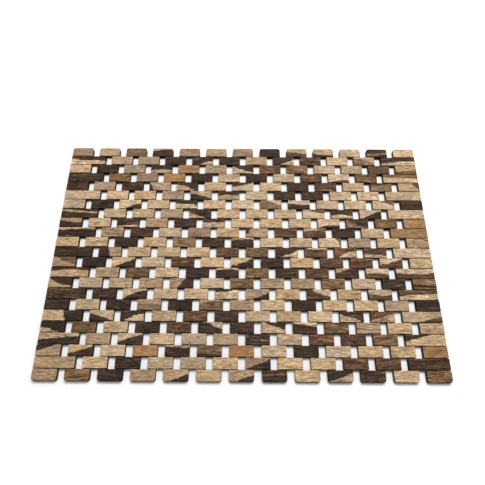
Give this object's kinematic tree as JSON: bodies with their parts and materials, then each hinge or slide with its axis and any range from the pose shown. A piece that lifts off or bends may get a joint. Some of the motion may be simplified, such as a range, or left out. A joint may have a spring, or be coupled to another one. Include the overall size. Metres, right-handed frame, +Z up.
{
  "type": "bath mat",
  "caption": "Rectangular roll-up bath mat of wooden blocks in staggered rows with open drain gaps, threaded on hidden cords.",
  "frame": {"origin": "on the floor, under the middle of the mat", "axes": "+X along the long side, +Y across the mat along the cords towards row 1, +Z up through the thickness"},
  "size_m": [0.6, 0.3992, 0.008],
  "materials": {
    "block_wood": "matt, lightly oiled, light and dark blocks mixed",
    "cord": "braided, matt"
  },
  "bodies": {
    "row_01": {"block_row_01": "block_wood"},
    "row_02": {"block_row_02": "block_wood"},
    "row_03": {"block_row_03": "block_wood"},
    "row_04": {"block_row_04": "block_wood"},
    "row_05": {"block_row_05": "block_wood"},
    "row_06": {"block_row_06": "block_wood"},
    "row_07": {"block_row_07": "block_wood"},
    "row_08": {"block_row_08": "block_wood"},
    "row_09": {"block_row_09": "block_wood"},
    "row_10": {"block_row_10": "block_wood"},
    "row_11": {"block_row_11": "block_wood"},
    "row_12": {"block_row_12": "block_wood", "cord_01": "cord", "cord_02": "cord", "cord_03": "cord", "cord_04": "cord", "cord_05": "cord", "cord_06": "cord", "cord_07": "cord", "cord_08": "cord", "cord_09": "cord", "cord_10": "cord", "cord_11": "cord", "cord_12": "cord", "cord_13": "cord", "cord_14": "cord", "cord_15": "cord", "cord_16": "cord", "cord_17": "cord", "cord_18": "cord", "cord_19": "cord", "cord_20": "cord", "cord_21": "cord", "cord_22": "cord", "cord_23": "cord", "cord_24": "cord", "cord_25": "cord", "cord_26": "cord"},
    "row_13": {"block_row_13": "block_wood"},
    "row_14": {"block_row_14": "block_wood"},
    "row_15": {"block_row_15": "block_wood"},
    "row_16": {"block_row_16": "block_wood"},
    "row_17": {"block_row_17": "block_wood"},
    "row_18": {"block_row_18": "block_wood"},
    "row_19": {"block_row_19": "block_wood"},
    "row_20": {"block_row_20": "block_wood"},
    "row_21": {"block_row_21": "block_wood"},
    "row_22": {"block_row_22": "block_wood"},
    "row_23": {"block_row_23": "block_wood"}
  },
  "joints": [
    {"name": "fold_01_02", "type": "hinge", "parent": "row_02", "child": "row_01", "pos_m": [0, 0.1827, 0.004], "axis": [1, 0, 0], "range_deg": [0, 14], "deforming": ["cord_01", "cord_02", "cord_03", "cord_04", "cord_05", "cord_06", "cord_07", "cord_08", "cord_09", "cord_10", "cord_11", "cord_12", "cord_13", "cord_14", "cord_15", "cord_16", "cord_17", "cord_18", "cord_19", "cord_20", "cord_21", "cord_22", "cord_23", "cord_24", "cord_25", "cord_26"]},
    {"name": "fold_02_03", "type": "hinge", "parent": "row_03", "child": "row_02", "pos_m": [0, 0.1653, 0.004], "axis": [1, 0, 0], "range_deg": [0, 14], "deforming": ["cord_01", "cord_02", "cord_03", "cord_04", "cord_05", "cord_06", "cord_07", "cord_08", "cord_09", "cord_10", "cord_11", "cord_12", "cord_13", "cord_14", "cord_15", "cord_16", "cord_17", "cord_18", "cord_19", "cord_20", "cord_21", "cord_22", "cord_23", "cord_24", "cord_25", "cord_26"]},
    {"name": "fold_03_04", "type": "hinge", "parent": "row_04", "child": "row_03", "pos_m": [0, 0.1479, 0.004], "axis": [1, 0, 0], "range_deg": [0, 14], "deforming": ["cord_01", "cord_02", "cord_03", "cord_04", "cord_05", "cord_06", "cord_07", "cord_08", "cord_09", "cord_10", "cord_11", "cord_12", "cord_13", "cord_14", "cord_15", "cord_16", "cord_17", "cord_18", "cord_19", "cord_20", "cord_21", "cord_22", "cord_23", "cord_24", "cord_25", "cord_26"]},
    {"name": "fold_04_05", "type": "hinge", "parent": "row_05", "child": "row_04", "pos_m": [0, 0.1305, 0.004], "axis": [1, 0, 0], "range_deg": [0, 14], "deforming": ["cord_01", "cord_02", "cord_03", "cord_04", "cord_05", "cord_06", "cord_07", "cord_08", "cord_09", "cord_10", "cord_11", "cord_12", "cord_13", "cord_14", "cord_15", "cord_16", "cord_17", "cord_18", "cord_19", "cord_20", "cord_21", "cord_22", "cord_23", "cord_24", "cord_25", "cord_26"]},
    {"name": "fold_05_06", "type": "hinge", "parent": "row_06", "child": "row_05", "pos_m": [0, 0.1131, 0.004], "axis": [1, 0, 0], "range_deg": [0, 14], "deforming": ["cord_01", "cord_02", "cord_03", "cord_04", "cord_05", "cord_06", "cord_07", "cord_08", "cord_09", "cord_10", "cord_11", "cord_12", "cord_13", "cord_14", "cord_15", "cord_16", "cord_17", "cord_18", "cord_19", "cord_20", "cord_21", "cord_22", "cord_23", "cord_24", "cord_25", "cord_26"]},
    {"name": "fold_06_07", "type": "hinge", "parent": "row_07", "child": "row_06", "pos_m": [0, 0.0957, 0.004], "axis": [1, 0, 0], "range_deg": [0, 14], "deforming": ["cord_01", "cord_02", "cord_03", "cord_04", "cord_05", "cord_06", "cord_07", "cord_08", "cord_09", "cord_10", "cord_11", "cord_12", "cord_13", "cord_14", "cord_15", "cord_16", "cord_17", "cord_18", "cord_19", "cord_20", "cord_21", "cord_22", "cord_23", "cord_24", "cord_25", "cord_26"]},
    {"name": "fold_07_08", "type": "hinge", "parent": "row_08", "child": "row_07", "pos_m": [0, 0.0783, 0.004], "axis": [1, 0, 0], "range_deg": [0, 14], "deforming": ["cord_01", "cord_02", "cord_03", "cord_04", "cord_05", "cord_06", "cord_07", "cord_08", "cord_09", "cord_10", "cord_11", "cord_12", "cord_13", "cord_14", "cord_15", "cord_16", "cord_17", "cord_18", "cord_19", "cord_20", "cord_21", "cord_22", "cord_23", "cord_24", "cord_25", "cord_26"]},
    {"name": "fold_08_09", "type": "hinge", "parent": "row_09", "child": "row_08", "pos_m": [0, 0.0609, 0.004], "axis": [1, 0, 0], "range_deg": [0, 14], "deforming": ["cord_01", "cord_02", "cord_03", "cord_04", "cord_05", "cord_06", "cord_07", "cord_08", "cord_09", "cord_10", "cord_11", "cord_12", "cord_13", "cord_14", "cord_15", "cord_16", "cord_17", "cord_18", "cord_19", "cord_20", "cord_21", "cord_22", "cord_23", "cord_24", "cord_25", "cord_26"]},
    {"name": "fold_09_10", "type": "hinge", "parent": "row_10", "child": "row_09", "pos_m": [0, 0.0435, 0.004], "axis": [1, 0, 0], "range_deg": [0, 14], "deforming": ["cord_01", "cord_02", "cord_03", "cord_04", "cord_05", "cord_06", "cord_07", "cord_08", "cord_09", "cord_10", "cord_11", "cord_12", "cord_13", "cord_14", "cord_15", "cord_16", "cord_17", "cord_18", "cord_19", "cord_20", "cord_21", "cord_22", "cord_23", "cord_24", "cord_25", "cord_26"]},
    {"name": "fold_10_11", "type": "hinge", "parent": "row_11", "child": "row_10", "pos_m": [0, 0.0261, 0.004], "axis": [1, 0, 0], "range_deg": [0, 14], "deforming": ["cord_01", "cord_02", "cord_03", "cord_04", "cord_05", "cord_06", "cord_07", "cord_08", "cord_09", "cord_10", "cord_11", "cord_12", "cord_13", "cord_14", "cord_15", "cord_16", "cord_17", "cord_18", "cord_19", "cord_20", "cord_21", "cord_22", "cord_23", "cord_24", "cord_25", "cord_26"]},
    {"name": "fold_11_12", "type": "hinge", "parent": "row_12", "child": "row_11", "pos_m": [0, 0.0087, 0.004], "axis": [1, 0, 0], "range_deg": [0, 14], "deforming": ["cord_01", "cord_02", "cord_03", "cord_04", "cord_05", "cord_06", "cord_07", "cord_08", "cord_09", "cord_10", "cord_11", "cord_12", "cord_13", "cord_14", "cord_15", "cord_16", "cord_17", "cord_18", "cord_19", "cord_20", "cord_21", "cord_22", "cord_23", "cord_24", "cord_25", "cord_26"]},
    {"name": "fold_12_13", "type": "hinge", "parent": "row_12", "child": "row_13", "pos_m": [0, -0.0087, 0.004], "axis": [-1, 0, 0], "range_deg": [0, 14], "deforming": ["cord_01", "cord_02", "cord_03", "cord_04", "cord_05", "cord_06", "cord_07", "cord_08", "cord_09", "cord_10", "cord_11", "cord_12", "cord_13", "cord_14", "cord_15", "cord_16", "cord_17", "cord_18", "cord_19", "cord_20", "cord_21", "cord_22", "cord_23", "cord_24", "cord_25", "cord_26"]},
    {"name": "fold_13_14", "type": "hinge", "parent": "row_13", "child": "row_14", "pos_m": [0, -0.0261, 0.004], "axis": [-1, 0, 0], "range_deg": [0, 14], "deforming": ["cord_01", "cord_02", "cord_03", "cord_04", "cord_05", "cord_06", "cord_07", "cord_08", "cord_09", "cord_10", "cord_11", "cord_12", "cord_13", "cord_14", "cord_15", "cord_16", "cord_17", "cord_18", "cord_19", "cord_20", "cord_21", "cord_22", "cord_23", "cord_24", "cord_25", "cord_26"]},
    {"name": "fold_14_15", "type": "hinge", "parent": "row_14", "child": "row_15", "pos_m": [0, -0.0435, 0.004], "axis": [-1, 0, 0], "range_deg": [0, 14], "deforming": ["cord_01", "cord_02", "cord_03", "cord_04", "cord_05", "cord_06", "cord_07", "cord_08", "cord_09", "cord_10", "cord_11", "cord_12", "cord_13", "cord_14", "cord_15", "cord_16", "cord_17", "cord_18", "cord_19", "cord_20", "cord_21", "cord_22", "cord_23", "cord_24", "cord_25", "cord_26"]},
    {"name": "fold_15_16", "type": "hinge", "parent": "row_15", "child": "row_16", "pos_m": [0, -0.0609, 0.004], "axis": [-1, 0, 0], "range_deg": [0, 14], "deforming": ["cord_01", "cord_02", "cord_03", "cord_04", "cord_05", "cord_06", "cord_07", "cord_08", "cord_09", "cord_10", "cord_11", "cord_12", "cord_13", "cord_14", "cord_15", "cord_16", "cord_17", "cord_18", "cord_19", "cord_20", "cord_21", "cord_22", "cord_23", "cord_24", "cord_25", "cord_26"]},
    {"name": "fold_16_17", "type": "hinge", "parent": "row_16", "child": "row_17", "pos_m": [0, -0.0783, 0.004], "axis": [-1, 0, 0], "range_deg": [0, 14], "deforming": ["cord_01", "cord_02", "cord_03", "cord_04", "cord_05", "cord_06", "cord_07", "cord_08", "cord_09", "cord_10", "cord_11", "cord_12", "cord_13", "cord_14", "cord_15", "cord_16", "cord_17", "cord_18", "cord_19", "cord_20", "cord_21", "cord_22", "cord_23", "cord_24", "cord_25", "cord_26"]},
    {"name": "fold_17_18", "type": "hinge", "parent": "row_17", "child": "row_18", "pos_m": [0, -0.0957, 0.004], "axis": [-1, 0, 0], "range_deg": [0, 14], "deforming": ["cord_01", "cord_02", "cord_03", "cord_04", "cord_05", "cord_06", "cord_07", "cord_08", "cord_09", "cord_10", "cord_11", "cord_12", "cord_13", "cord_14", "cord_15", "cord_16", "cord_17", "cord_18", "cord_19", "cord_20", "cord_21", "cord_22", "cord_23", "cord_24", "cord_25", "cord_26"]},
    {"name": "fold_18_19", "type": "hinge", "parent": "row_18", "child": "row_19", "pos_m": [0, -0.1131, 0.004], "axis": [-1, 0, 0], "range_deg": [0, 14], "deforming": ["cord_01", "cord_02", "cord_03", "cord_04", "cord_05", "cord_06", "cord_07", "cord_08", "cord_09", "cord_10", "cord_11", "cord_12", "cord_13", "cord_14", "cord_15", "cord_16", "cord_17", "cord_18", "cord_19", "cord_20", "cord_21", "cord_22", "cord_23", "cord_24", "cord_25", "cord_26"]},
    {"name": "fold_19_20", "type": "hinge", "parent": "row_19", "child": "row_20", "pos_m": [0, -0.1305, 0.004], "axis": [-1, 0, 0], "range_deg": [0, 14], "deforming": ["cord_01", "cord_02", "cord_03", "cord_04", "cord_05", "cord_06", "cord_07", "cord_08", "cord_09", "cord_10", "cord_11", "cord_12", "cord_13", "cord_14", "cord_15", "cord_16", "cord_17", "cord_18", "cord_19", "cord_20", "cord_21", "cord_22", "cord_23", "cord_24", "cord_25", "cord_26"]},
    {"name": "fold_20_21", "type": "hinge", "parent": "row_20", "child": "row_21", "pos_m": [0, -0.1479, 0.004], "axis": [-1, 0, 0], "range_deg": [0, 14], "deforming": ["cord_01", "cord_02", "cord_03", "cord_04", "cord_05", "cord_06", "cord_07", "cord_08", "cord_09", "cord_10", "cord_11", "cord_12", "cord_13", "cord_14", "cord_15", "cord_16", "cord_17", "cord_18", "cord_19", "cord_20", "cord_21", "cord_22", "cord_23", "cord_24", "cord_25", "cord_26"]},
    {"name": "fold_21_22", "type": "hinge", "parent": "row_21", "child": "row_22", "pos_m": [0, -0.1653, 0.004], "axis": [-1, 0, 0], "range_deg": [0, 14], "deforming": ["cord_01", "cord_02", "cord_03", "cord_04", "cord_05", "cord_06", "cord_07", "cord_08", "cord_09", "cord_10", "cord_11", "cord_12", "cord_13", "cord_14", "cord_15", "cord_16", "cord_17", "cord_18", "cord_19", "cord_20", "cord_21", "cord_22", "cord_23", "cord_24", "cord_25", "cord_26"]},
    {"name": "fold_22_23", "type": "hinge", "parent": "row_22", "child": "row_23", "pos_m": [0, -0.1827, 0.004], "axis": [-1, 0, 0], "range_deg": [0, 14], "deforming": ["cord_01", "cord_02", "cord_03", "cord_04", "cord_05", "cord_06", "cord_07", "cord_08", "cord_09", "cord_10", "cord_11", "cord_12", "cord_13", "cord_14", "cord_15", "cord_16", "cord_17", "cord_18", "cord_19", "cord_20", "cord_21", "cord_22", "cord_23", "cord_24", "cord_25", "cord_26"]}
  ]
}
